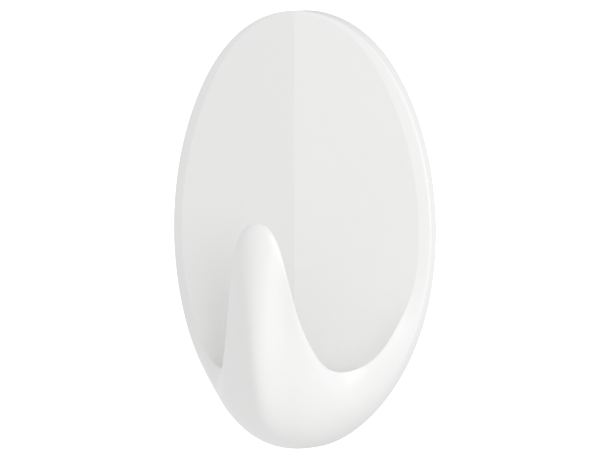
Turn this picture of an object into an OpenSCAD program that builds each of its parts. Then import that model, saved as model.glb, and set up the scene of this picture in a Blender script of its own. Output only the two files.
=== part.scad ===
// Oval adhesive wall hook: a moulded cover with its hook in one piece, which slides down over a flat
// base plate, and the stretch-release strip that holds the plate to the wall.
// The wall is the plane y = 0, the front faces -y, and z points up the wall.

/* [Cover] */
// Width of the oval cover
cover_w = 51; // [47:1:57]
// Height of the oval cover
cover_h = 78; // [74:1:84]
// Gap between the wall and the back edge of the cover
rim_gap = 0.5; // [0.3:0.1:0.7]
// Distance of the centre ridge from the wall
ridge_f = 5.3; // [5.2:0.1:6.4]
// How far the two facets fall back from the ridge to the side edges
facet_drop = 2.2; // [1.6:0.1:2.4]
// Width of the bevel along the sides of the front edge
bevel_w = 2.1; // [1.6:0.1:2.4]
// How far the bevel falls back to the side
bevel_drop = 0.95; // [0.7:0.05:1.2]
// Height of the steep wall below the chin
chin_wall = 2.9; // [2:0.1:3.2]
// Wall thickness of the moulding
cover_wall = 1.5; // [1.3:0.1:1.6]

/* [Hook] */
// Distance of the hook's tip from the wall
tip_f = 20.5; // [18:0.1:23]
// Height of the tip above the middle of the cover
tip_rise = 2.3; // [0:0.1:5]
// Width of the finger near its tip
finger_w = 10.2; // [8.6:0.1:12]
// Depth of the seat's lips below the middle of the cover
seat_drop = 24.7; // [23.7:0.1:25.7]
// How far the seat dips between its lips
seat_dip = 1.6; // [1:0.1:2]
// How far the front of the hook bulges forward
belly = 6.3; // [5:0.1:7]

/* [Base plate] */
// Width of the plate over its ears
plate_w = 23; // [22:0.5:25]
// Height of the plate
plate_h = 42; // [40:1:43]
// Height of the plate's top edge above the middle of the cover
plate_top = 23; // [22.5:0.5:24]
// Thickness of the plate
plate_t = 1.5; // [1.4:0.1:1.6]
// Rounding of the plate's corners
plate_corner_r = 2; // [1:0.5:2.5]
// How far the ears stand out at the sides
ear_w = 1.6; // [1.3:0.1:1.8]
// Thickness of the ears
ear_t = 0.9; // [0.8:0.1:1]
// Length of each ear
ear_len = 6.5; // [5:0.1:6.8]
// Number of ears on each side
ear_count = 3; // [1:1:3]
// Distance from one ear to the next
ear_pitch = 14.5; // [14:0.1:15]
// Height of the row of ears' middle above the middle of the cover
ear_mid = 0.5; // [-0.5:0.1:1]
// Width of the arch in the lower edge that leaves room to grip the tab
grip_w = 12; // [10:1:14]
// Height of that arch
grip_h = 3; // [2:0.5:4]
// Depth of the two panels in the front of the plate
panel_depth = 0.5; // [0.3:0.1:0.7]
// Width of the frame round the panels
panel_margin = 2.4; // [2:0.1:3]
// Width of the rib between the panels
panel_rib = 1.6; // [1.2:0.1:2.4]

/* [Inside of the cover] */
// Running clearance between cover and plate
slide_gap = 0.25; // [0.2:0.01:0.3]
// Length of each clip
clip_len = 6; // [4.5:0.1:6.4]
// Thickness of a clip's toe
toe_t = 0.65; // [0.5:0.05:0.7]
// Thickness of a clip's post
post_t = 1.4; // [1:0.1:1.8]
// Width of the stop that rests on the plate's top edge
stop_w = 14; // [10:1:15]
// Thickness of the stop
stop_t = 1.4; // [1:0.1:2]
// Width of the ribs that bear on the plate's front
bearing_w = 0.9; // [0.7:0.1:1.2]
// Distance of those ribs from the middle
bearing_x = 6.5; // [5:0.5:8]
// Number of cores that hollow the hook's root
core_count = 3; // [1:2:3]
// Width of each core
core_w = 5; // [4:0.1:5.4]
// Thickness of the ribs between the cores
core_rib = 1.2; // [1:0.1:1.6]
// Thickness left between the seat's bottom and the cores
core_roof = 1.9; // [1.6:0.1:2.2]
// Thickness left between the cores and the bottom of the cover
core_floor = 2.9; // [2.6:0.1:3.2]
// Distance from the wall to the deepest point of the cores
core_f = 9.6; // [8:0.1:10]
// How much narrower the cores get on each side towards their deep end
core_draft = 0.8; // [0.6:0.1:1]

/* [Adhesive strip] */
// Width of the strip
strip_w = 18; // [16:0.5:18.5]
// Height of the strip's top edge above the middle of the cover
strip_top = 22; // [21:0.5:22.5]
// Length of the sticky part
strip_len = 40; // [38:1:41]
// Length of the pull tab
tab_len = 9.5; // [8:0.5:10]
// Rounding of the sticky part's corners
strip_corner_r = 1.5; // [1:0.5:2]
// Rounding of the tab's end
tab_corner_r = 4; // [3:0.5:5]
// Thickness of the foam
foam_t = 0.66; // [0.6:0.02:0.7]
// Thickness of each layer of glue
glue_t = 0.12; // [0.1:0.01:0.14]
// Thickness of each film on the pull tab
film_t = 0.08; // [0.06:0.01:0.1]
// Gap between the films and the glue
film_gap = 0.3; // [0.2:0.1:0.6]

/* [Hidden] */

// Steps from one station to the next along the rim, and from one ring to the next across it
rim_steps = 3;
skin_steps = 2;
// Facets of the hollow's outline, and of round corners
outline_n = 90;
corner_n = 32;
// A small angle, for the direction of the outline
nudge = 0.1;
// How far cuts run past the faces that they open
overrun = 1;

// How much fuller than an ellipse the oval is above, and how much slimmer below
shoulder_share = 0.06;
slim_share = 0.105;
facet_slope = facet_drop/(cover_w/2);
inner_ridge_f = ridge_f - cover_wall;
hook_ahead = tip_f - ridge_f;
hook_high = tip_rise + seat_drop;

// Stations along the rim, as angles round the oval: 180 at the top, 0 at the bottom, which the hook's tip
// belongs to. Down to the sixth the crest of the cover is the inner border of the bevel. From there on it
// leaves the rim, runs along the lips of the seat and up the edges of the finger to the tip
station_angles = [180, 165, 150, 135, 120, 106,
                  93, 83, 74, 66, 58.5, 51.5, 45, 38.5, 32.5, 26.5, 20.5, 14.5, 9.5, 5.5, 2, 0];
rim_stations = 6;
// Half width of the crest: shares of the way from the finger's to the cover's, or, below zero, to nothing
crest_spread_shares = [0.905, 0.895, 0.855, 0.76, 0.662, 0.559, 0.426, 0.314, 0.235, 0.163, 0.096, 0.044, 0,
                       -0.186, -0.51, -1];
// How far it stands ahead of the facets, as shares of the tip's distance
crest_ahead_shares = [0, 0, 0.012, 0.07, 0.145, 0.218, 0.302, 0.434, 0.622, 0.75, 0.869, 0.942, 0.976,
                      0.997, 1.008, 1];
// How far it goes down to the lips, as shares of their depth, and up to the tip, as shares of that way
crest_down_shares = [-0.081, 0.182, 0.421, 0.619, 0.789, 0.911, 0.98, 1, 1, 1, 1, 1, 1, 1, 1, 1];
crest_up_shares = [0, 0, 0, 0, 0, 0, 0, 0, 0.044, 0.178, 0.352, 0.552, 0.722, 0.863, 0.967, 1];
// The line down the middle of the facets, along the seat and up the back of the finger: how far it stands
// ahead of the ridge, as shares of the tip's distance, and how far below the crest, as shares of the dip
seat_ahead_shares = [0, 0, 0, 0, 0.003, 0.046, 0.204, 0.401, 0.533, 0.618, 0.691, 0.757, 0.809, 0.855,
                     0.895, 0.921];
seat_dip_shares = [0, 0, 0, 0.13, 0.3, 0.7, 1, 0.8, 0.04, -0.62, -0.88, -0.62, -0.37, -0.13, 0.37, 0.37];
// Where the ridge begins below the top edge, and how much of the bevel is left there
ridge_top_share = 0.97;
bevel_top_share = 0.3;

// Rings from the back edge to the crest. The bevel: way in and drop, as shares of its width and its drop
bevel_in_shares = [0, 0, 0.03, 0.15, 0.4, 0.68, 0.88, 0.96, 0.99];
bevel_drop_shares = [1, 0.9, 0.78, 0.64, 0.44, 0.23, 0.08, 0.02, 0];
// The chin and the front of the finger: ways in and up, as shares of the way to the crest
chin_in_shares = [0, 0, 0.035, 0.12, 0.27, 0.46, 0.68, 0.87, 0.97];
chin_up_shares = [0, 0.002, 0.015, 0.06, 0.17, 0.36, 0.61, 0.85, 0.97];
// Way forward: shares of the steep wall, then of the way from there to the crest, then of the belly
chin_wall_shares = [0.35, 0.7, 0.95, 1, 1, 1, 1, 1, 1];
chin_ahead_shares = [0, 0.01, 0.075, 0.26, 0.52, 0.73, 0.875, 0.96, 0.99];
belly_shares = [0.23, 0.45, 0.72, 0.92, 0.96, 0.83, 0.57, 0.35, 0.16];
// How much of the belly comes to a soft keel
keel_shares = [0, 0, 0, 0.15, 0.35, 0.6, 0.9, 1, 1];
// Rings from the crest to the middle, as shares of its half width
across_shares = [0.94, 0.78, 0.48, 0, 0, 0];

// Angles between which the bevel reaches its width, the crest leaves the rim, the bevel becomes the chin,
// and the facets become the seat
bevel_from = 170;
bevel_to = 122;
leave_from = 92;
leave_to = 78;
chin_from = 68;
chin_to = 42;
seat_from = 66;
seat_to = 45;
// Angles over which the belly fades, and over which its keel is rounded and falls away
belly_to = 50;
keel_round = 2;
keel_fall = 6;
// Powers of the curves across: beside the rim, in the seat and, between two angles, on the finger's back
rim_power = 6;
seat_power = 2.2;
finger_power = 3;
finger_from = 34;
finger_to = 22;

// The strip's layers, from the wall outwards
foam_f = glue_t;
plate_glue_f = foam_f + foam_t;
plate_f = plate_glue_f + glue_t;
strip_low = strip_top - strip_len;

// The plate
plate_mid = plate_top - plate_h/2;
plate_front_f = plate_f + plate_t;
slab_w = plate_w - 2*ear_w;

// The clips
toe_f = plate_front_f - ear_t - slide_gap - toe_t;
toe_in = slab_w/2 + slide_gap;
post_in = plate_w/2 + slide_gap;
toe_lead_share = 0.5;

// The stop's thickness at its root, and how much of the plate's height the bearing ribs cover
stop_root_share = 1.6;
bearing_share = 0.9;

function ease(t) = let (c = min(max(t, 0), 1)) c*c*(3 - 2*c);

// How far an angle has gone from one limit to another, smoothly, from 0 to 1
function gone(q, from, to) = ease((from - q)/(from - to));

// Outline of the cover seen from the front, at an angle from its bottom, and a line inside it
function oval(q) =
    [cover_w/2*sin(q)*(1 + shoulder_share*pow(max(-cos(q), 0), 4) - slim_share*pow(max(cos(q), 0), 4)),
     -cover_h/2*cos(q)];
function inside(q, way) =
    let (d = oval(q + nudge) - oval(q - nudge)) oval(q) + way*[-d[1], d[0]]/norm(d);

// The bevel's share of its width, from the narrow edge at the top to the full bevel along the sides
function bevel_share(q) = bevel_top_share + (1 - bevel_top_share)*gone(q, bevel_from, bevel_to);

// Distance from the wall to the facets
function facet_f(x) = ridge_f - facet_slope*abs(x);

// A station: its angle, half width, distance from the wall and height of the crest, then the last two
// of the middle line
function spread(share) = finger_w/2*(1 + min(share, 0)) + (cover_w - finger_w)/2*max(share, 0);
function station(i) =
    let (q = station_angles[i], k = i - rim_stations, rim = inside(q, bevel_w*bevel_share(q)))
    k < 0 ? [q, rim[0], facet_f(rim[0]), rim[1], ridge_f, rim[1]*ridge_top_share] :
    let (x = spread(crest_spread_shares[k]),
         z = hook_high*crest_up_shares[k] - seat_drop*crest_down_shares[k])
    [q, x, facet_f(x) + hook_ahead*crest_ahead_shares[k], z,
     ridge_f + hook_ahead*seat_ahead_shares[k], z - seat_dip*seat_dip_shares[k]];
function mirrored(v, turn) = [turn - v[0], -v[1], v[2], v[3], v[4], v[5]];
station_n = len(station_angles);
stations = concat([mirrored(station(1), 360)], [for (i = [0:station_n - 1]) station(i)],
                  [mirrored(station(station_n - 2), 0)]);

// A smooth curve along a list of points: the weights of four points in a row, and the point at a place
function weights(t) = [pow(1 - t, 3), 3*pow(t, 3) - 6*t*t + 4, 1 + 3*t + 3*t*t - 3*pow(t, 3), pow(t, 3)]/6;
function along(list, place) =
    let (i = min(floor(place), len(list) - 4)) weights(place - i)*[for (k = [0:3]) list[i + k]];

// Ring j at one place of the rim, between the back edge and the crest: x, distance from the wall, height
function bevel_point(j, q, out, crest) =
    let (p = out + (crest - out)*bevel_in_shares[j],
         drop = bevel_drop*bevel_share(q) + crest[1] - facet_f(crest[0]))
    [p[0], crest[1] - drop*bevel_drop_shares[j], p[2]];
function chin_point(j, q, out, crest) =
    let (soft = 1 - ease(q/belly_to),
         keel = exp((keel_round - sqrt(q*q + keel_round*keel_round))/keel_fall),
         bulge = belly_shares[j]*(soft + (keel - soft)*keel_shares[j]),
         ahead = crest[1] - rim_gap - chin_wall,
         full = tip_f - rim_gap - chin_wall)
    [out[0] + (crest[0] - out[0])*chin_in_shares[j],
     rim_gap + chin_wall*chin_wall_shares[j] + ahead*(chin_ahead_shares[j] + bulge*belly/full),
     out[2] + (crest[2] - out[2])*chin_up_shares[j]];

// A ring between the crest and the middle line
function across_point(share, q, crest, mid) =
    let (rim = 1 - gone(q, seat_from, seat_to),
         seat = seat_power + (finger_power - seat_power)*gone(q, finger_from, finger_to),
         power = seat + (rim_power - seat)*rim,
         fall = facet_slope*rim*crest[0])
    [crest[0]*share,
     mid[1] - fall*share + (crest[1] - mid[1] + fall)*pow(share, power),
     mid[2] + (crest[2] - mid[2])*share*share];

// All rings at one place of the rim
function rings(place) =
    let (v = along(stations, place), q = min(max(v[0], 0), 180), edge = oval(q),
         rim = inside(q, bevel_w*bevel_share(q)),
         left = gone(q, leave_from, leave_to), chin = gone(q, chin_from, chin_to),
         out = [edge[0], rim_gap, edge[1]],
         crest = [rim[0], facet_f(rim[0]), rim[1]]*(1 - left) + [v[1], v[2], v[3]]*left,
         mid = [0, ridge_f, rim[1]*ridge_top_share]*(1 - left) + [0, v[4], v[5]]*left)
    concat([out, out, out],
           [for (j = [0:len(bevel_in_shares) - 1])
               bevel_point(j, q, out, crest)*(1 - chin) + chin_point(j, q, out, crest)*chin],
           [crest],
           [for (share = across_shares) across_point(share, q, crest, mid)]);

// The right half of the skin, row by row from the back edge to the middle line, and all of it
half_n = (station_n - 1)*rim_steps;
skin_columns = [for (i = [0:half_n]) rings(i/rim_steps)];
ring_n = len(skin_columns[0]);
skin_rows = (ring_n - 3)*skin_steps;
function skin_point(row, column) =
    let (right = column <= half_n,
         p = along(skin_columns[right ? column : 2*half_n - column], row/skin_steps))
    [right ? p[0] : -p[0], -p[1], p[2]];

// The cover's outside: one closed skin, whose last row is shared by both halves
module cover_form() {
    n = 2*half_n;
    function id(row, column) = row*n + (row == skin_rows ? min(column%n, n - column%n) : column%n);
    polyhedron(
        points = [for (row = [0:skin_rows], column = [0:n - 1]) skin_point(row, column)],
        faces = concat(
            [[for (column = [0:n - 1]) n - 1 - column]],
            [for (row = [0:skin_rows - 1], column = [0:n - 1])
                [id(row, column), id(row, column + 1), id(row + 1, column + 1)]],
            [for (row = [0:skin_rows - 1], column = [0:n - 1])
                [id(row, column), id(row + 1, column + 1), id(row + 1, column)]]));
}

// A front-view outline made solid between two distances from the wall
module forward(from_f, to_f) {
    translate([0, -from_f, 0]) rotate([90, 0, 0]) linear_extrude(to_f - from_f) children();
}

// The hollow behind the facets
module cover_hollow() {
    intersection() {
        forward(rim_gap - overrun, ridge_f)
            polygon([for (j = [0:outline_n - 1]) inside(360*j/outline_n, cover_wall)]);
        linear_extrude(cover_h, center = true)
            polygon([
                [-cover_w/2, overrun],
                [-cover_w/2, cover_wall - facet_f(cover_w/2)],
                [0, -inner_ridge_f],
                [cover_w/2, cover_wall - facet_f(cover_w/2)],
                [cover_w/2, overrun]]);
    }
}

// A box between two corners given as [x, distance from the wall, height]
module block(a, b) {
    translate([a[0], -b[1], a[2]]) cube([b[0] - a[0], b[1] - a[1], b[2] - a[2]]);
}

// Tapered cores that hollow the hook's root from behind, with ribs left between them
module root_cores() {
    high = -seat_drop - seat_dip - core_roof;
    for (k = [0:core_count - 1]) {
        mid = (k - (core_count - 1)/2)*(core_w + core_rib);
        off = abs(mid)/(core_w + core_rib);
        low = core_floor - cover_h/2 + off*core_draft*2;
        hull() {
            block([mid - core_w/2, rim_gap + cover_wall, low], [mid + core_w/2, inner_ridge_f, high]);
            block([mid - core_w/2 + core_draft, inner_ridge_f, low + 2*core_draft],
                  [mid + core_w/2 - core_draft, core_f - off*core_draft, high - core_draft]);
        }
    }
}

// A clip that hooks behind one ear of the plate: a post down from the facet and a toe with a lead-in
module clip(mid) {
    low = mid - clip_len/2;
    high = mid + clip_len/2;
    block([post_in, toe_f, low], [post_in + post_t, facet_f(post_in + post_t) - cover_wall/2, high]);
    hull() {
        block([post_in, toe_f, low], [post_in + post_t/2, toe_f + toe_t, high]);
        block([toe_in, toe_f + toe_t*toe_lead_share, low], [toe_in + toe_t, toe_f + toe_t, high]);
    }
}

// A rib that bears on the front of the plate
module bearing_rib() {
    half_h = plate_h/2*bearing_share;
    block([bearing_x - bearing_w/2, plate_front_f + slide_gap, plate_mid - half_h],
          [bearing_x + bearing_w/2, facet_f(bearing_x) - cover_wall/2, plate_mid + half_h]);
}

// Height of ear k, and of the clip that holds it
function ear_z(k) = ear_mid + (k - (ear_count - 1)/2)*ear_pitch;

module hook_cover() {
    color([0.95, 0.95, 0.94]) union() {
        difference() {
            cover_form();
            cover_hollow();
            root_cores();
        }
        for (turn = [0, 1], k = [0:ear_count - 1]) mirror([turn, 0, 0]) clip(ear_z(k));
        // The stop that rests on the plate's top edge
        hull() {
            block([-stop_w/2, plate_f, plate_top], [stop_w/2, inner_ridge_f, plate_top + stop_t]);
            block([-stop_w/2, inner_ridge_f, plate_top],
                  [stop_w/2, facet_f(stop_w/2) - cover_wall/2, plate_top + stop_t*stop_root_share]);
        }
        for (turn = [0, 1]) mirror([turn, 0, 0]) bearing_rib();
    }
}

// A rectangle with round corners
module rounded(w, h, r) {
    square([w - 2*r, h], center = true);
    square([w, h - 2*r], center = true);
    for (x = [-1, 1], y = [-1, 1]) translate([x*(w/2 - r), y*(h/2 - r)]) circle(r, $fn = corner_n);
}

// One ear at the plate's right-hand edge, with a foot inside the slab
module ear(mid) {
    block([slab_w/2 - overrun, plate_front_f - ear_t, mid - ear_len/2],
          [plate_w/2, plate_front_f, mid + ear_len/2]);
}

module base_plate() {
    panel_w = slab_w/2 - panel_margin - panel_rib/2;
    panel_h = plate_h - 2*panel_margin - grip_h;
    color([0.90, 0.91, 0.90]) difference() {
        union() {
            forward(plate_f, plate_front_f)
                translate([0, plate_mid]) rounded(slab_w, plate_h, plate_corner_r);
            for (turn = [0, 1], k = [0:ear_count - 1]) mirror([turn, 0, 0]) ear(ear_z(k));
        }
        // Shallow panels in the front, with a rib left between them
        for (side = [-1, 1])
            forward(plate_front_f - panel_depth, plate_front_f + overrun)
                translate([side*(panel_rib + panel_w)/2, plate_mid + grip_h/2])
                    rounded(panel_w, panel_h, plate_corner_r/2);
        // The arch that leaves room to grip the tab
        forward(plate_f - overrun, plate_front_f + overrun)
            translate([0, plate_mid - plate_h/2]) scale([grip_w/2, grip_h]) circle(1, $fn = 2*corner_n);
    }
}

// The strip's outline between two heights, with its own corner radius at each end
module strip_piece(bottom, top, bottom_r, top_r) {
    translate([-strip_w/2, bottom + bottom_r]) square([strip_w, top - top_r - bottom - bottom_r]);
    translate([bottom_r - strip_w/2, bottom]) square([strip_w - 2*bottom_r, top - top_r - bottom]);
    translate([top_r - strip_w/2, bottom + bottom_r]) square([strip_w - 2*top_r, top - bottom - bottom_r]);
    for (x = [-1, 1]) {
        translate([x*(strip_w/2 - bottom_r), bottom + bottom_r]) circle(bottom_r, $fn = corner_n);
        translate([x*(strip_w/2 - top_r), top - top_r]) circle(top_r, $fn = corner_n);
    }
}

module foam_core() {
    color([0.93, 0.93, 0.90])
        forward(foam_f, foam_f + foam_t)
            strip_piece(strip_low - tab_len, strip_top, tab_corner_r, strip_corner_r);
}

module glue_layer(from_f) {
    forward(from_f, from_f + glue_t) strip_piece(strip_low, strip_top, strip_corner_r, strip_corner_r);
}

module plate_glue() {
    color([0.97, 0.96, 0.90]) glue_layer(plate_glue_f);
}

module wall_glue() {
    color([0.97, 0.96, 0.90]) glue_layer(0);
}

module tab_films() {
    color([0.80, 0.84, 0.88])
        for (f = [foam_f - film_t, foam_f + foam_t])
            forward(f, f + film_t)
                strip_piece(strip_low - tab_len, strip_low - film_gap, tab_corner_r, strip_corner_r);
}

hook_cover();
base_plate();
foam_core();
plate_glue();
wall_glue();
tab_films();
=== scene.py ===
import math

import bmesh
import bpy
import numpy as np
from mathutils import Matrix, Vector


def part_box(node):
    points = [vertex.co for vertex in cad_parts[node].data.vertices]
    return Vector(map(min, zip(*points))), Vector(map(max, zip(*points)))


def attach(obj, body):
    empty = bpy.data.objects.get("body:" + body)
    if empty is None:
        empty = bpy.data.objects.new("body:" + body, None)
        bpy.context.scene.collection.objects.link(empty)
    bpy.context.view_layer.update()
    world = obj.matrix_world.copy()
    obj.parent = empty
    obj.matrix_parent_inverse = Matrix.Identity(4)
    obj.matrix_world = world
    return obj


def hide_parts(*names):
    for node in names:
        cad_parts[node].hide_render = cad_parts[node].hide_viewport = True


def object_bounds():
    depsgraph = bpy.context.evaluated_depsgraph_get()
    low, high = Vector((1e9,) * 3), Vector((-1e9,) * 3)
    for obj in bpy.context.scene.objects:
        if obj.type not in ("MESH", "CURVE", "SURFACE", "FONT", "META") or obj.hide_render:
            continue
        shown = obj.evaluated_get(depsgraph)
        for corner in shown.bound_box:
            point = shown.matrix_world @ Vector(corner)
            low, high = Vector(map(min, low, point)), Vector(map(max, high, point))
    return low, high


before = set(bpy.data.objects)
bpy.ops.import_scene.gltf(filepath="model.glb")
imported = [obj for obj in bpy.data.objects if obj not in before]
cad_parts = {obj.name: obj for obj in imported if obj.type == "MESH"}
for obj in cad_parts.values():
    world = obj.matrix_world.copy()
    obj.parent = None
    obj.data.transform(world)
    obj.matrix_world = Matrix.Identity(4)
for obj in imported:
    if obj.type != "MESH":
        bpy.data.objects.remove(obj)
cad_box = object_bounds()

# The foam core of the stretch-release strip: a closed-cell foam tape, cut from a roll with round corners.
# Its lower end stays free of glue and is the tab that is pulled to take the hook off the wall.
MM = 0.001


def lay_out(low, high, half_w, low_r, high_r, steps=10):
    """Outline of a strip in the wall's plane: four quarter circles, centre + radius*(cos, sin), and lines."""
    turn = np.linspace(0, np.pi/2, steps + 1)
    corners = [(1, low + low_r, low_r, -0.5), (1, high - high_r, high_r, 0.0),
               (-1, high - high_r, high_r, 0.5), (-1, low + low_r, low_r, 1.0)]
    return np.concatenate([
        np.stack([side*(half_w - r) + r*np.cos(turn + start*np.pi), z + r*np.sin(turn + start*np.pi)], -1)
        for side, z, r, start in corners])


def ring_mesh(rings):
    """Points and faces of a solid through rings of points in a row, closed by one flat face at each end.
    Seen from the front, each ring runs counter-clockwise, and the rings go from front to back."""
    count, n = rings.shape[:2]
    ring, place = np.meshgrid(np.arange(count - 1), np.arange(n), indexing="ij")
    after = (place + 1) % n
    sides = np.stack([ring*n + place, (ring + 1)*n + place, (ring + 1)*n + after, ring*n + after], -1)
    ends = [list(range(n)), list(range(count*n - 1, (count - 1)*n - 1, -1))]
    return rings.reshape(-1, 3), sides.reshape(-1, 4).tolist() + ends


def plate_mesh(outline, profile):
    """A flat plate: the outline, moved inwards along its normals, at each (inset, y) of a profile."""
    ahead = np.roll(outline, -1, 0) - np.roll(outline, 1, 0)
    inward = np.stack([-ahead[:, 1], ahead[:, 0]], -1)/np.linalg.norm(ahead, axis=1, keepdims=True)
    profile = np.array(profile)
    flat = outline + inward*profile[:, :1, None]
    level = np.broadcast_to(profile[:, 1:], flat.shape[:2])
    return ring_mesh(np.stack([flat[..., 0], level, flat[..., 1]], -1))


def make_piece(name, shells, body, node=None):
    """One object from closed shells of points and faces, in metres, that rides on a body."""
    points, faces, start = [], [], 0
    for shell_points, shell_faces in shells:
        points.append(shell_points)
        faces += [[start + i for i in face] for face in shell_faces]
        start += len(shell_points)
    mesh = bpy.data.meshes.new(name)
    mesh.from_pydata(np.concatenate(points).tolist(), [], faces)
    mesh.validate()
    mesh.shade_smooth()
    piece = bpy.data.objects.new(name, mesh)
    bpy.context.scene.collection.objects.link(piece)
    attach(piece, body)
    if node:
        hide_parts(node)
    return piece


foam_low, foam_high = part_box("foam_core")
strip_r, tab_r = 1.5*MM, 4*MM
foam_bulge, foam_edge = 0.10*MM, 0.12*MM
foam_round = np.linspace(0, np.pi, 9)
foam_mid, foam_half = (foam_low.y + foam_high.y)/2, (foam_high.y - foam_low.y)/2
foam_profile = np.stack(
    [foam_edge - foam_bulge*np.sin(foam_round), foam_mid - foam_half*np.cos(foam_round)], -1)
foam_outline = lay_out(foam_low.z, foam_high.z, foam_high.x, tab_r, strip_r)
foam = make_piece(
    "strip_foam", [plate_mesh(foam_outline, foam_profile)], "wall_base", "foam_core")
foam.data.set_sharp_from_angle(angle=math.radians(50))


def new_material(name, roughness, specular=0.5):
    """A material with one Principled BSDF; returns it, its nodes, its links and that shader."""
    material = bpy.data.materials.new(name)
    material.use_nodes = True
    tree = material.node_tree
    shader = tree.nodes["Principled BSDF"]
    shader.inputs["Roughness"].default_value = roughness
    shader.inputs["Specular IOR Level"].default_value = specular
    return material, tree.nodes, tree.links, shader


def add(nodes, kind, label, **values):
    """A shader node with a label; values set its sockets by name, or its own properties."""
    node = nodes.new(kind)
    node.label = label
    for key, value in values.items():
        socket = node.inputs.get(key.replace("_", " "))
        if socket is not None:
            socket.default_value = value
        else:
            setattr(node, key, value)
    return node


def mottle_group():
    """Uneven plastic, foam or glue: noise on object coordinates mixes two colours, roughness and height."""
    group = bpy.data.node_groups.new("fine_mottle", "ShaderNodeTree")
    for way, name, kind in (
            ("INPUT", "Vector", "Vector"), ("INPUT", "Scale", "Float"), ("INPUT", "Low", "Float"),
            ("INPUT", "High", "Float"), ("INPUT", "Pale", "Color"), ("INPUT", "Deep", "Color"),
            ("OUTPUT", "Color", "Color"), ("OUTPUT", "Roughness", "Float"), ("OUTPUT", "Height", "Float")):
        group.interface.new_socket(name=name, in_out=way, socket_type="NodeSocket" + kind)
    nodes, links = group.nodes, group.links
    given, made = nodes.new("NodeGroupInput"), nodes.new("NodeGroupOutput")
    noise = add(nodes, "ShaderNodeTexNoise", "unevenness", Detail=3.0, Roughness=0.55)
    rough = add(nodes, "ShaderNodeMapRange", "roughness")
    blend = add(nodes, "ShaderNodeMix", "colour", data_type="RGBA")
    links.new(given.outputs["Vector"], noise.inputs["Vector"])
    links.new(given.outputs["Scale"], noise.inputs["Scale"])
    links.new(noise.outputs["Fac"], rough.inputs["Value"])
    links.new(given.outputs["Low"], rough.inputs["To Min"])
    links.new(given.outputs["High"], rough.inputs["To Max"])
    links.new(noise.outputs["Fac"], blend.inputs["Factor"])
    links.new(given.outputs["Pale"], blend.inputs[6])
    links.new(given.outputs["Deep"], blend.inputs[7])
    links.new(blend.outputs[2], made.inputs["Color"])
    links.new(rough.outputs["Result"], made.inputs["Roughness"])
    links.new(noise.outputs["Fac"], made.inputs["Height"])
    return group


fine_mottle = mottle_group()


def mottled(name, scale, low, high, pale, deep, stretch=(1, 1, 1), bump=0.1, depth=0.02*MM):
    """A material whose colour, roughness and bump come from the mottle group, stretched along an axis."""
    material, nodes, links, shader = new_material(name, (low + high)/2)
    place = nodes.new("ShaderNodeTexCoord")
    mapping = add(nodes, "ShaderNodeMapping", "direction", Scale=stretch)
    mottle = add(nodes, "ShaderNodeGroup", "mottle", node_tree=fine_mottle)
    for key, value in (("Scale", scale), ("Low", low), ("High", high),
                       ("Pale", (*pale, 1)), ("Deep", (*deep, 1))):
        mottle.inputs[key].default_value = value
    relief = add(nodes, "ShaderNodeBump", "relief", Strength=bump, Distance=depth)
    links.new(place.outputs["Object"], mapping.inputs["Vector"])
    links.new(mapping.outputs["Vector"], mottle.inputs["Vector"])
    links.new(mottle.outputs["Color"], shader.inputs["Base Color"])
    links.new(mottle.outputs["Roughness"], shader.inputs["Roughness"])
    links.new(mottle.outputs["Height"], relief.inputs["Height"])
    links.new(relief.outputs["Normal"], shader.inputs["Normal"])
    return material, nodes, links, shader, place, relief


foam_finish, nodes, links, shader, place, relief = mottled(
    "foam", scale=900.0, low=0.75, high=0.92, pale=(0.93, 0.93, 0.90), deep=(0.84, 0.84, 0.80), bump=0.5)
cells = add(nodes, "ShaderNodeTexVoronoi", "foam cells", Scale=4200.0)
links.new(place.outputs["Object"], cells.inputs["Vector"])
links.new(cells.outputs["Distance"], relief.inputs["Height"])
foam.data.materials.append(foam_finish)

# The two layers of glue, one against the wall and one against the plate: soft, milky films that a coating
# machine spreads on the foam, with fine streaks along the strip.
glue_edge = 0.03*MM
glue_finish = mottled(
    "glue", scale=500.0, low=0.22, high=0.48, pale=(0.95, 0.94, 0.87), deep=(0.90, 0.88, 0.79),
    stretch=(3.0, 3.0, 0.35), bump=0.35)[0]
for glue_node in ("wall_glue", "plate_glue"):
    low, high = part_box(glue_node)
    profile = [(glue_edge, low.y), (0, low.y + glue_edge), (0, high.y - glue_edge), (glue_edge, high.y)]
    glue = make_piece(
        glue_node + "_film", [plate_mesh(lay_out(low.z, high.z, high.x, strip_r, strip_r), profile)],
        "wall_base", glue_node)
    glue.data.set_sharp_from_angle(angle=math.radians(30))
    glue.data.materials.append(glue_finish)

# The two films that cover the tab's front and back so that it can be gripped: clear bluish polyester, laid on
# the foam before the strip is cut, so its edges are the foam's.
film_low, film_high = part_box("tab_films")
film_t, film_edge = 0.08*MM, 0.02*MM
film_outline = lay_out(film_low.z, film_high.z, film_high.x, tab_r, strip_r)
film_profile = np.array([(film_edge, 0), (0, film_edge), (0, film_t - film_edge), (film_edge, film_t)])
films = make_piece(
    "tab_films_pair",
    [plate_mesh(film_outline, film_profile + [0, y]) for y in (film_low.y, film_high.y - film_t)],
    "wall_base", "tab_films")
films.data.set_sharp_from_angle(angle=math.radians(30))
films.data.materials.append(mottled(
    "film", scale=350.0, low=0.12, high=0.26, pale=(0.82, 0.86, 0.90), deep=(0.74, 0.80, 0.87),
    stretch=(6.0, 6.0, 0.5), bump=0.15)[0])

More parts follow.
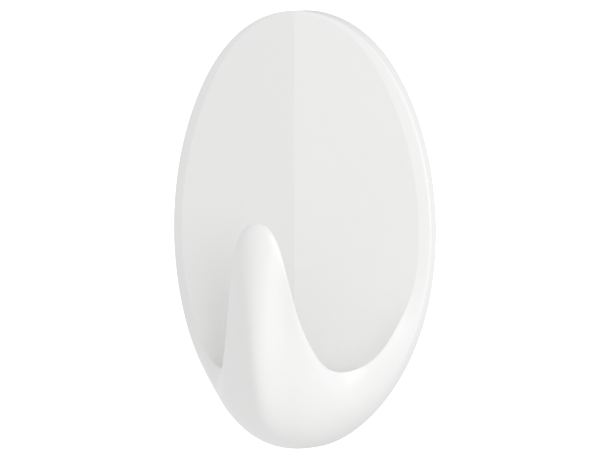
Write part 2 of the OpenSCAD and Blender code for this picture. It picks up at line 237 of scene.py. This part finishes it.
# The base plate: a flat moulding that the strip holds to the wall, with three ears on each side that the
# cover's clips slide behind, and an arch at the bottom for the fingers that reach for the tab.
plate_edge = 0.15*MM
plate_sides = bmesh.new()
plate_sides.from_mesh(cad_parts["base_plate"].data)
bmesh.ops.remove_doubles(plate_sides, verts=plate_sides.verts, dist=0.001*MM)
bmesh.ops.dissolve_limit(
    plate_sides, angle_limit=math.radians(1), verts=plate_sides.verts, edges=plate_sides.edges)
plate_mould = bpy.data.meshes.new("wall_plate")
plate_sides.to_mesh(plate_mould)
plate_sides.free()
plate_mould.materials.clear()
plate_mould.shade_smooth()
plate = bpy.data.objects.new("wall_plate", plate_mould)
bpy.context.scene.collection.objects.link(plate)
broken_edge = plate.modifiers.new("broken edge", "BEVEL")
broken_edge.width, broken_edge.segments = plate_edge, 2
broken_edge.limit_method, broken_edge.angle_limit = "ANGLE", math.radians(40)
broken_edge.harden_normals = True
plate_mould.materials.append(mottled(
    "matt_plate", scale=2600.0, low=0.48, high=0.66, pale=(0.90, 0.90, 0.89), deep=(0.87, 0.87, 0.86),
    bump=0.3)[0])
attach(plate, "wall_base")
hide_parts("base_plate")

# The cover: one injection moulding of gloss white plastic. Two flat facets meet in a ridge down the middle,
# and a bevel runs round the upper rim; lower down it sweeps forward as the seat's lip and the finger's edges.
cover_low, cover_high = (Vector(corner)/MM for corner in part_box("hook_cover"))
cover_w, cover_h, rim_gap = cover_high.x - cover_low.x, cover_high.z - cover_low.z, -cover_high.y
ridge_f, facet_drop, cover_wall = 5.3, 2.2, 1.5
bevel_w, bevel_drop, bevel_top_share, chin_wall = 2.1, 0.95, 0.3, 2.9
tip_f, tip_rise, finger_w = 20.5, 2.3, 10.2
seat_drop, seat_dip, belly = 24.7, 1.6, 6.3
shoulder_share, slim_share, ridge_top_share = 0.06, 0.105, 0.97
facet_slope = facet_drop/(cover_w/2)
roof_fillet, rim_edge = 0.4, 0.15

# Where one form passes into the next, as degrees round the oval from its bottom: the bevel widens, the crest
# leaves the rim, the bevel becomes the chin, the facets become the seat, and the seat the finger's back. The
# keel of the chin has a round, and it fades over a width; the powers say how hollow a ring is across.
bevel_from, bevel_to = 170, 122
leave_from, leave_to = 92, 78
chin_from, chin_to = 68, 42
seat_from, seat_to = 66, 45
back_from, back_to = 34, 22
chin_soft, keel_round, keel_w = 50, 2, 6
facet_power, seat_power, back_power = 6, 2.2, 3.0

# Stations along the rim, by the same angle. The first six follow the bevel; from there on the crest, where
# outside and inside meet, leaves the rim for the lips, the finger's edges and the tip.
rim_angles = np.array([180.0, 165, 150, 135, 120, 106])
crest_angles = np.array([93, 83, 74, 66, 58.5, 51.5, 45, 38.5, 32.5, 26.5, 20.5, 14.5, 9.5, 5.5, 2, 0])
crest_spread = np.array([0.905, 0.895, 0.855, 0.76, 0.662, 0.559, 0.426, 0.314, 0.235, 0.163, 0.096, 0.044, 0,
                         -0.186, -0.51, -1])
crest_ahead = np.array([0, 0, 0.012, 0.07, 0.145, 0.218, 0.302, 0.434, 0.622, 0.75, 0.869, 0.942, 0.976,
                        0.997, 1.008, 1])
crest_down = np.array([-0.081, 0.182, 0.421, 0.619, 0.789, 0.911, 0.98, 1, 1, 1, 1, 1, 1, 1, 1, 1])
crest_up = np.array([0, 0, 0, 0, 0, 0, 0, 0, 0.044, 0.178, 0.352, 0.552, 0.722, 0.863, 0.967, 1])
seat_ahead = np.array([0, 0, 0, 0, 0.003, 0.046, 0.204, 0.401, 0.533, 0.618, 0.691, 0.757, 0.809, 0.855,
                       0.895, 0.921])
seat_below = np.array([0, 0, 0, 0.13, 0.3, 0.7, 1, 0.8, 0.04, -0.62, -0.88, -0.62, -0.37, -0.13, 0.37, 0.37])

# Rings from the back edge to the crest: for the bevel, shares inwards and back; for the chin, shares
# sideways, up, of the wall, ahead, of the belly and of its keel. Then those from the crest to the middle line.
bevel_rings = np.array([(0, 1), (0, 0.9), (0.03, 0.78), (0.15, 0.64), (0.4, 0.44), (0.68, 0.23), (0.88, 0.08),
                        (0.96, 0.02), (0.99, 0)])
chin_rings = np.array([(0, 0, 0.35, 0, 0.23, 0), (0, 0.002, 0.7, 0.01, 0.45, 0),
                       (0.035, 0.015, 0.95, 0.075, 0.72, 0),
                       (0.12, 0.06, 1, 0.26, 0.92, 0.15), (0.27, 0.17, 1, 0.52, 0.96, 0.35),
                       (0.46, 0.36, 1, 0.73, 0.83, 0.6), (0.68, 0.61, 1, 0.875, 0.57, 0.9),
                       (0.87, 0.85, 1, 0.96, 0.35, 1), (0.97, 0.97, 1, 0.99, 0.16, 1)])
across_rings = np.array([0.94, 0.78, 0.48, 0, 0, 0])


def ease(t):
    """3t^2 - 2t^3 between 0 and 1."""
    t = np.clip(t, 0, 1)
    return t*t*(3 - 2*t)


def gone(q, start, end):
    """How far an angle has gone from one limit to another, eased."""
    return ease((start - q)/(start - end))


def along(points, place):
    """Uniform cubic B-spline through rows of points: four weights, cubic in the place between two rows."""
    first = np.minimum(np.floor(place).astype(int), len(points) - 4)
    t = (place - first)[:, None]
    weights = np.concatenate([(1 - t)**3, 3*t**3 - 6*t**2 + 4, 1 + 3*t + 3*t**2 - 3*t**3, t**3], 1)/6
    return np.einsum("pk,pk...->p...", weights, points[first[:, None] + np.arange(4)])


def oval(q):
    """Outline at an angle from the bottom: an ellipse, fuller above and slimmer below by height**4."""
    turn = np.radians(q)
    high = -np.cos(turn)
    full = 1 + shoulder_share*np.maximum(high, 0)**4 - slim_share*np.maximum(-high, 0)**4
    return np.stack([cover_w/2*np.sin(turn)*full, cover_h/2*high], -1)


def inside(q, way, nudge=0.1):
    """The outline moved inwards: outline + way * unit normal, from a small step to either side."""
    ahead = oval(q + nudge) - oval(q - nudge)
    normal = np.stack([-ahead[:, 1], ahead[:, 0]], -1)
    return oval(q) + np.reshape(way, (-1, 1))*normal/np.linalg.norm(normal, axis=1, keepdims=True)


def bevel_share(q):
    """The bevel's share of its width: narrow at the top, full along the sides."""
    return bevel_top_share + (1 - bevel_top_share)*gone(q, bevel_from, bevel_to)


def facet_f(x):
    """Distance from the wall to the facets: the ridge less the slope times the distance from the middle."""
    return ridge_f - facet_slope*np.abs(x)


def cover_stations():
    """Control points along the rim: angle, crest x, f and z, middle line f and z, mirrored past both ends."""
    rim = inside(rim_angles, bevel_w*bevel_share(rim_angles))
    ridge = np.full(len(rim), ridge_f)
    upper = np.stack(
        [rim_angles, rim[:, 0], facet_f(rim[:, 0]), rim[:, 1], ridge, rim[:, 1]*ridge_top_share], -1)
    x = finger_w/2*(1 + np.minimum(crest_spread, 0)) + (cover_w - finger_w)/2*np.maximum(crest_spread, 0)
    z = (tip_rise + seat_drop)*crest_up - seat_drop*crest_down
    hook_ahead = tip_f - ridge_f
    lower = np.stack([crest_angles, x, facet_f(x) + hook_ahead*crest_ahead, z,
                      ridge_f + hook_ahead*seat_ahead, z - seat_dip*seat_below], -1)
    all_rows = np.concatenate([upper, lower])
    before, after = all_rows[1].copy(), all_rows[-2].copy()
    before[:2] = 360 - before[0], -before[1]
    after[:2] = -after[:2]
    return np.concatenate([[before], all_rows, [after]])


def cover_columns(steps):
    """Rings of control points of the right half, top to tip: back edge, bevel or chin, crest, middle line.
    A ring between crest and middle has its depth by share**power and its height by share**2."""
    stations = cover_stations()
    v = along(stations, np.arange((len(stations) - 3)*steps + 1)/steps)
    q = np.clip(v[:, 0], 0, 180)
    bevel = bevel_share(q)
    edge, rim = oval(q), inside(q, bevel_w*bevel)
    leave, chin = gone(q, leave_from, leave_to)[:, None], gone(q, chin_from, chin_to)[:, None]
    out = np.stack([edge[:, 0], 0*q + rim_gap, edge[:, 1]], -1)
    crest = np.stack([rim[:, 0], facet_f(rim[:, 0]), rim[:, 1]], -1)*(1 - leave) + v[:, 1:4]*leave
    upper_mid = np.stack([0*q, 0*q + ridge_f, rim[:, 1]*ridge_top_share], -1)
    mid = upper_mid*(1 - leave) + np.stack([0*q, v[:, 4], v[:, 5]], -1)*leave
    soft = 1 - ease(q/chin_soft)
    keel = np.exp((keel_round - np.hypot(q, keel_round))/keel_w)
    ahead = crest[:, 1] - rim_gap - chin_wall
    rings = [out, out, out]
    for (bevel_in, bevel_back), (side, up, wall, forth, bulge, sharp) in zip(bevel_rings, chin_rings):
        upper = out + (crest - out)*bevel_in
        upper[:, 1] = crest[:, 1] - (bevel_drop*bevel + crest[:, 1] - facet_f(crest[:, 0]))*bevel_back
        lower = out + (crest - out)*[side, 0, up]
        swell = bulge*(soft + (keel - soft)*sharp)*belly/(tip_f - rim_gap - chin_wall)
        lower[:, 1] = rim_gap + chin_wall*wall + ahead*(forth + swell)
        rings.append(upper*(1 - chin) + lower*chin)
    rings.append(crest)
    flat = 1 - gone(q, seat_from, seat_to)
    hollow = seat_power + (back_power - seat_power)*gone(q, back_from, back_to)
    power = hollow + (facet_power - hollow)*flat
    fall = facet_slope*flat*crest[:, 0]
    for share in across_rings:
        f = mid[:, 1] - fall*share + (crest[:, 1] - mid[:, 1] + fall)*share**power
        rings.append(np.stack([crest[:, 0]*share, f, mid[:, 2] + (crest[:, 2] - mid[:, 2])*share**2], -1))
    return q, np.array(rings)


def hollow_rows(q):
    """Rows of the inside: from its middle line over the roof and a fillet, down the wall, round the rim."""
    corner = inside(q, cover_wall + roof_fillet)
    rows = []
    for share in np.linspace(0, 1, 9):
        x, z = corner[:, 0]*share, corner[:, 1]*(1 - (1 - ridge_top_share)*(1 - share))
        rows.append(np.stack([x, facet_f(x) - cover_wall, z], -1))
    for turn in np.linspace(0, np.pi/2, 5)[1:]:
        bend = inside(q, cover_wall + roof_fillet*(1 - np.sin(turn)))
        f = facet_f(bend[:, 0]) - cover_wall - roof_fillet*(1 - np.cos(turn))
        rows.append(np.stack([bend[:, 0], f, bend[:, 1]], -1))
    for way, f in ((cover_wall, rim_gap + rim_edge), (cover_wall - rim_edge, rim_gap), (rim_edge, rim_gap)):
        edge = inside(q, way)
        rows.append(np.stack([edge[:, 0], 0*q + f, edge[:, 1]], -1))
    return np.array(rows)


def cover_mesh(steps, ring_steps):
    """The closed skin: inside rows, then outside rows, for the right half and its mirror image, whose first
    and last rows, the middle lines, are shared. Returns points, in metres, faces, the number of inside rows
    and the number of points in a row."""
    q, rings = cover_columns(steps)
    place = np.arange((len(rings) - 3)*ring_steps + 1)/ring_steps
    outer = along(rings, place)
    outer[0, :, 1] += rim_edge
    inner = hollow_rows(q)
    right = np.concatenate([inner, outer])
    right[:, [0, -1], 0] = 0
    right[[0, -1], :, 0] = 0
    whole = np.concatenate([right, right[:, -2:0:-1]*[-1, 1, 1]], 1)
    rows, n = whole.shape[:2]
    index = np.arange(rows*n).reshape(rows, n)
    shared = np.minimum(np.arange(n), n - np.arange(n))
    index[0], index[-1] = shared, (rows - 1)*n + shared
    after = np.roll(index, -1, 1)
    faces = np.stack([index[:-1], after[:-1], after[1:], index[1:]], -1).reshape(-1, 4)
    points = np.stack([whole[..., 0], -whole[..., 1], whole[..., 2]], -1).reshape(-1, 3)*MM
    return points, faces, len(inner), n


points, faces, inner_rows, row_n = cover_mesh(steps=8, ring_steps=6)
used, faces = np.unique(faces, return_inverse=True)
cover = make_piece(
    "cover_shell", [(points[used], faces.reshape(-1, 4).tolist())], "cover", "hook_cover")
inside_mark = cover.data.attributes.new("inside", "FLOAT", "POINT")
inside_mark.data.foreach_set("value", (used < inner_rows*row_n).astype(np.float32))

# Three tapered pockets behind the hook's root, cored out so that the thick moulding does not sink as it
# cools. Their ends have a small round.
core_w, core_rib, core_roof, core_floor = 5.0, 1.2, 1.9, 2.9
core_f, core_draft, core_r, core_end_share = 9.6, 0.8, 0.5, 0.9
core_high = -seat_drop - seat_dip - core_roof
pockets = []
for step in (-1, 0, 1):
    low = core_floor - cover_h/2 + 2*abs(step)*core_draft
    mouth = lay_out(low, core_high, core_w/2, core_r, core_r)
    end = lay_out(low + 2*core_draft, core_high - core_draft, core_w/2 - core_draft, core_r, core_r)
    deep = core_f - abs(step)*core_draft
    levels = [(end*core_end_share + end.mean(0)*(1 - core_end_share), deep), (end, deep - core_r/2),
              (mouth, ridge_f - cover_wall), (mouth, rim_gap + cover_wall)]
    across = step*(core_w + core_rib)
    rings = np.array([np.stack([ring[:, 0] + across, np.full(len(ring), -f), ring[:, 1]], -1)
                      for ring, f in levels])
    pockets.append(ring_mesh(rings*MM))
cutter = make_piece("cores", pockets, "cover")
core_mark = cutter.data.attributes.new("inside", "FLOAT", "POINT")
core_mark.data.foreach_set("value", np.ones(len(cutter.data.vertices), np.float32))
coring = cover.modifiers.new("cores", "BOOLEAN")
coring.object, coring.operation, coring.solver = cutter, "DIFFERENCE", "EXACT"
cored = bpy.data.meshes.new_from_object(cover.evaluated_get(bpy.context.evaluated_depsgraph_get()))
cover.modifiers.remove(coring)
cover.data = cored
bpy.data.objects.remove(cutter)

# The ridge between the facets stays a crisp line, outside and inside, and so do the edges of the pockets.
on_middle, ridge_slack, ridge_end = 0.001, 0.1, 2
cored.set_sharp_from_angle(angle=math.radians(35))
spots = np.empty(len(cored.vertices)*3, np.float32)
cored.vertices.foreach_get("co", spots)
spots = spots.reshape(-1, 3)/MM
ends = np.empty(len(cored.edges)*2, np.int32)
cored.edges.foreach_get("vertices", ends)
on_ridge = ((np.abs(spots[:, 0]) < on_middle) & (-spots[:, 1] < ridge_f + ridge_slack)
            & (np.abs(spots[:, 2]) < cover_h/2 - ridge_end))
sharp = np.zeros(len(cored.edges), bool)
cored.attributes["sharp_edge"].data.foreach_get("value", sharp)
sharp |= on_ridge[ends].reshape(-1, 2).all(1)
cored.attributes["sharp_edge"].data.foreach_set("value", sharp)

gloss_white, nodes, links, shader, place, relief = mottled(
    "gloss_white", scale=420.0, low=0.27, high=0.33, pale=(0.87, 0.87, 0.865), deep=(0.855, 0.855, 0.85),
    bump=0.04)
side = add(nodes, "ShaderNodeAttribute", "inside of the cover", attribute_name="inside")
matt = add(nodes, "ShaderNodeMapRange", "matt inside", To_Min=0.0, To_Max=0.25)
total = add(nodes, "ShaderNodeMath", "roughness", operation="ADD")
links.new(side.outputs["Fac"], matt.inputs["Value"])
links.new(shader.inputs["Roughness"].links[0].from_socket, total.inputs[0])
links.new(matt.outputs["Result"], total.inputs[1])
links.new(total.outputs["Value"], shader.inputs["Roughness"])
cored.materials.clear()
cored.materials.append(gloss_white)

# The clips that hook behind the plate's ears, three on each side, moulded with the cover: a post from the
# facet's back and a toe whose lead-in finds the ear. A stop above rests on the plate, and two ribs bear on it.
plate_low, plate_high = (Vector(corner)/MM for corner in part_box("base_plate"))
plate_back_f, plate_front_f = -plate_high.y, -plate_low.y
slide_gap, ear_w, ear_t = 0.25, 1.6, 0.9
clip_len, toe_t, post_t, ear_pitch, ear_mid = 6.0, 0.65, 1.4, 14.5, 0.5
stop_w, stop_t, stop_root_share = 14.0, 1.4, 1.6
bearing_x, bearing_w, bearing_share = 6.5, 0.9, 0.9
clip_edge = 0.1*MM


def bar(profile, axis, start, end):
    """A closed profile carried from start to end: its points are (x, f) along z, and (z, f) along x."""
    profile = np.array(profile)
    level = np.array([start, end])[:, None] + np.zeros(len(profile))
    first = np.broadcast_to(profile[:, 0], level.shape)
    f = np.broadcast_to(-profile[:, 1], level.shape)
    return ring_mesh(np.stack([first, f, level] if axis == "z" else [level, f, first], -1)*MM)


toe_f = plate_front_f - ear_t - slide_gap - toe_t
toe_in, post_in = plate_high.x - ear_w + slide_gap, plate_high.x + slide_gap
post_out, root = post_in + post_t, facet_f(post_in + post_t) - cover_wall/2
hooked = np.array([(post_out, root), (post_out, toe_f), (post_in, toe_f), (toe_in, toe_f + toe_t/2),
                   (toe_in, toe_f + toe_t), (post_in, toe_f + toe_t), (post_in, root)])
fittings = []
for step in (-1, 0, 1):
    mid = ear_mid + step*ear_pitch
    fittings.append(bar(hooked, "z", mid - clip_len/2, mid + clip_len/2))
    fittings.append(bar((hooked*[-1, 1])[::-1], "z", mid - clip_len/2, mid + clip_len/2))
stop_root = facet_f(stop_w/2) - cover_wall/2
fittings.append(bar(
    [(plate_high.z, plate_back_f), (plate_high.z + stop_t, plate_back_f),
     (plate_high.z + stop_root_share*stop_t, ridge_f - cover_wall),
     (plate_high.z + stop_root_share*stop_t, stop_root), (plate_high.z, stop_root)],
    "x", -stop_w/2, stop_w/2))
plate_mid = (plate_low.z + plate_high.z)/2
rib_half = (plate_high.z - plate_low.z)/2*bearing_share
for x in (-bearing_x, bearing_x):
    left, right = x - bearing_w/2, x + bearing_w/2
    low_f, high_f = plate_front_f + slide_gap, facet_f(x) - cover_wall/2
    fittings.append(bar([(left, low_f), (right, low_f), (right, high_f), (left, high_f)],
                        "z", plate_mid - rib_half, plate_mid + rib_half))
clips = make_piece("cover_clips", fittings, "cover")
straight = bmesh.new()
straight.from_mesh(clips.data)
bmesh.ops.recalc_face_normals(straight, faces=straight.faces)
straight.to_mesh(clips.data)
straight.free()
clip_mark = clips.data.attributes.new("inside", "FLOAT", "POINT")
clip_mark.data.foreach_set("value", np.ones(len(clips.data.vertices), np.float32))
broken = clips.modifiers.new("broken edge", "BEVEL")
broken.width, broken.segments, broken.harden_normals = clip_edge, 2, True
broken.limit_method, broken.angle_limit = "ANGLE", math.radians(35)
clips.data.materials.append(gloss_white)

# The studio: a plain white floor below the hook that only the camera sees, white light from all round, a soft
# lamp in front at the right and weak ones at the sides and below, and the camera a little right of the front.
floor_gap, floor_half = 0.04, 40.0
floor_mesh = bpy.data.meshes.new("floor")
floor_mesh.from_pydata([(x*floor_half, y*floor_half, cad_box[0].z - floor_gap)
                        for x, y in ((-1, -1), (1, -1), (1, 1), (-1, 1))], [], [(0, 1, 2, 3)])
floor = bpy.data.objects.new("floor", floor_mesh)
bpy.context.scene.collection.objects.link(floor)
paper, nodes, links, shader = new_material("white_paper", 0.9)
shader.inputs["Base Color"].default_value = (0.9, 0.9, 0.9, 1)
shader.inputs["Emission Color"].default_value = (1, 1, 1, 1)
shader.inputs["Emission Strength"].default_value = 1.0
floor_mesh.materials.append(paper)
floor.visible_diffuse = floor.visible_glossy = floor.visible_shadow = False

world = bpy.data.worlds.new("white_tent")
world.use_nodes = True
world.node_tree.nodes["Background"].inputs["Color"].default_value = (1, 1, 1, 1)
world.node_tree.nodes["Background"].inputs["Strength"].default_value = 0.705
bpy.context.scene.world = world


lamp_distance = 0.8


def look_from(azimuth, elevation):
    """Unit vector from the hook towards an azimuth and an elevation, in degrees."""
    a, e = math.radians(azimuth), math.radians(elevation)
    return Vector((math.sin(a)*math.cos(e), -math.cos(a)*math.cos(e), math.sin(e)))


def set_lamp(name, azimuth, elevation, size, energy):
    """A square soft lamp that faces the hook."""
    lamp = bpy.data.lights.new(name, "AREA")
    lamp.size, lamp.energy = size, energy
    stand = bpy.data.objects.new(name, lamp)
    stand.location = lamp_distance*look_from(azimuth, elevation)
    stand.rotation_euler = stand.location.to_track_quat("Z", "Y").to_euler()
    bpy.context.scene.collection.objects.link(stand)


set_lamp("key_lamp", azimuth=52, elevation=12, size=0.55, energy=2.75)
set_lamp("rim_lamp", azimuth=125, elevation=-15, size=0.55, energy=0.5)
set_lamp("fill_lamp", azimuth=-105, elevation=-20, size=1.4, energy=1.5)
set_lamp("low_lamp", azimuth=-60, elevation=-60, size=0.55, energy=0.3)

camera_azimuth, camera_elevation, camera_distance = 26, 3, 1.2
image_w, pixels_per_mm, centre_px = 611, 5.615, 307.4
lens = bpy.data.cameras.new("camera")
camera = bpy.data.objects.new("camera", lens)
back = look_from(camera_azimuth, camera_elevation)
right = look_from(camera_azimuth + 90, 0)
camera.location = right*((image_w/2 - centre_px)/pixels_per_mm*MM) + back*camera_distance
camera.rotation_euler = back.to_track_quat("Z", "Y").to_euler()
lens.sensor_width = 36
lens.lens = lens.sensor_width*camera_distance/(image_w/pixels_per_mm*MM)
bpy.context.scene.collection.objects.link(camera)
bpy.context.scene.camera = camera
bpy.context.scene.view_settings.view_transform = "Standard"
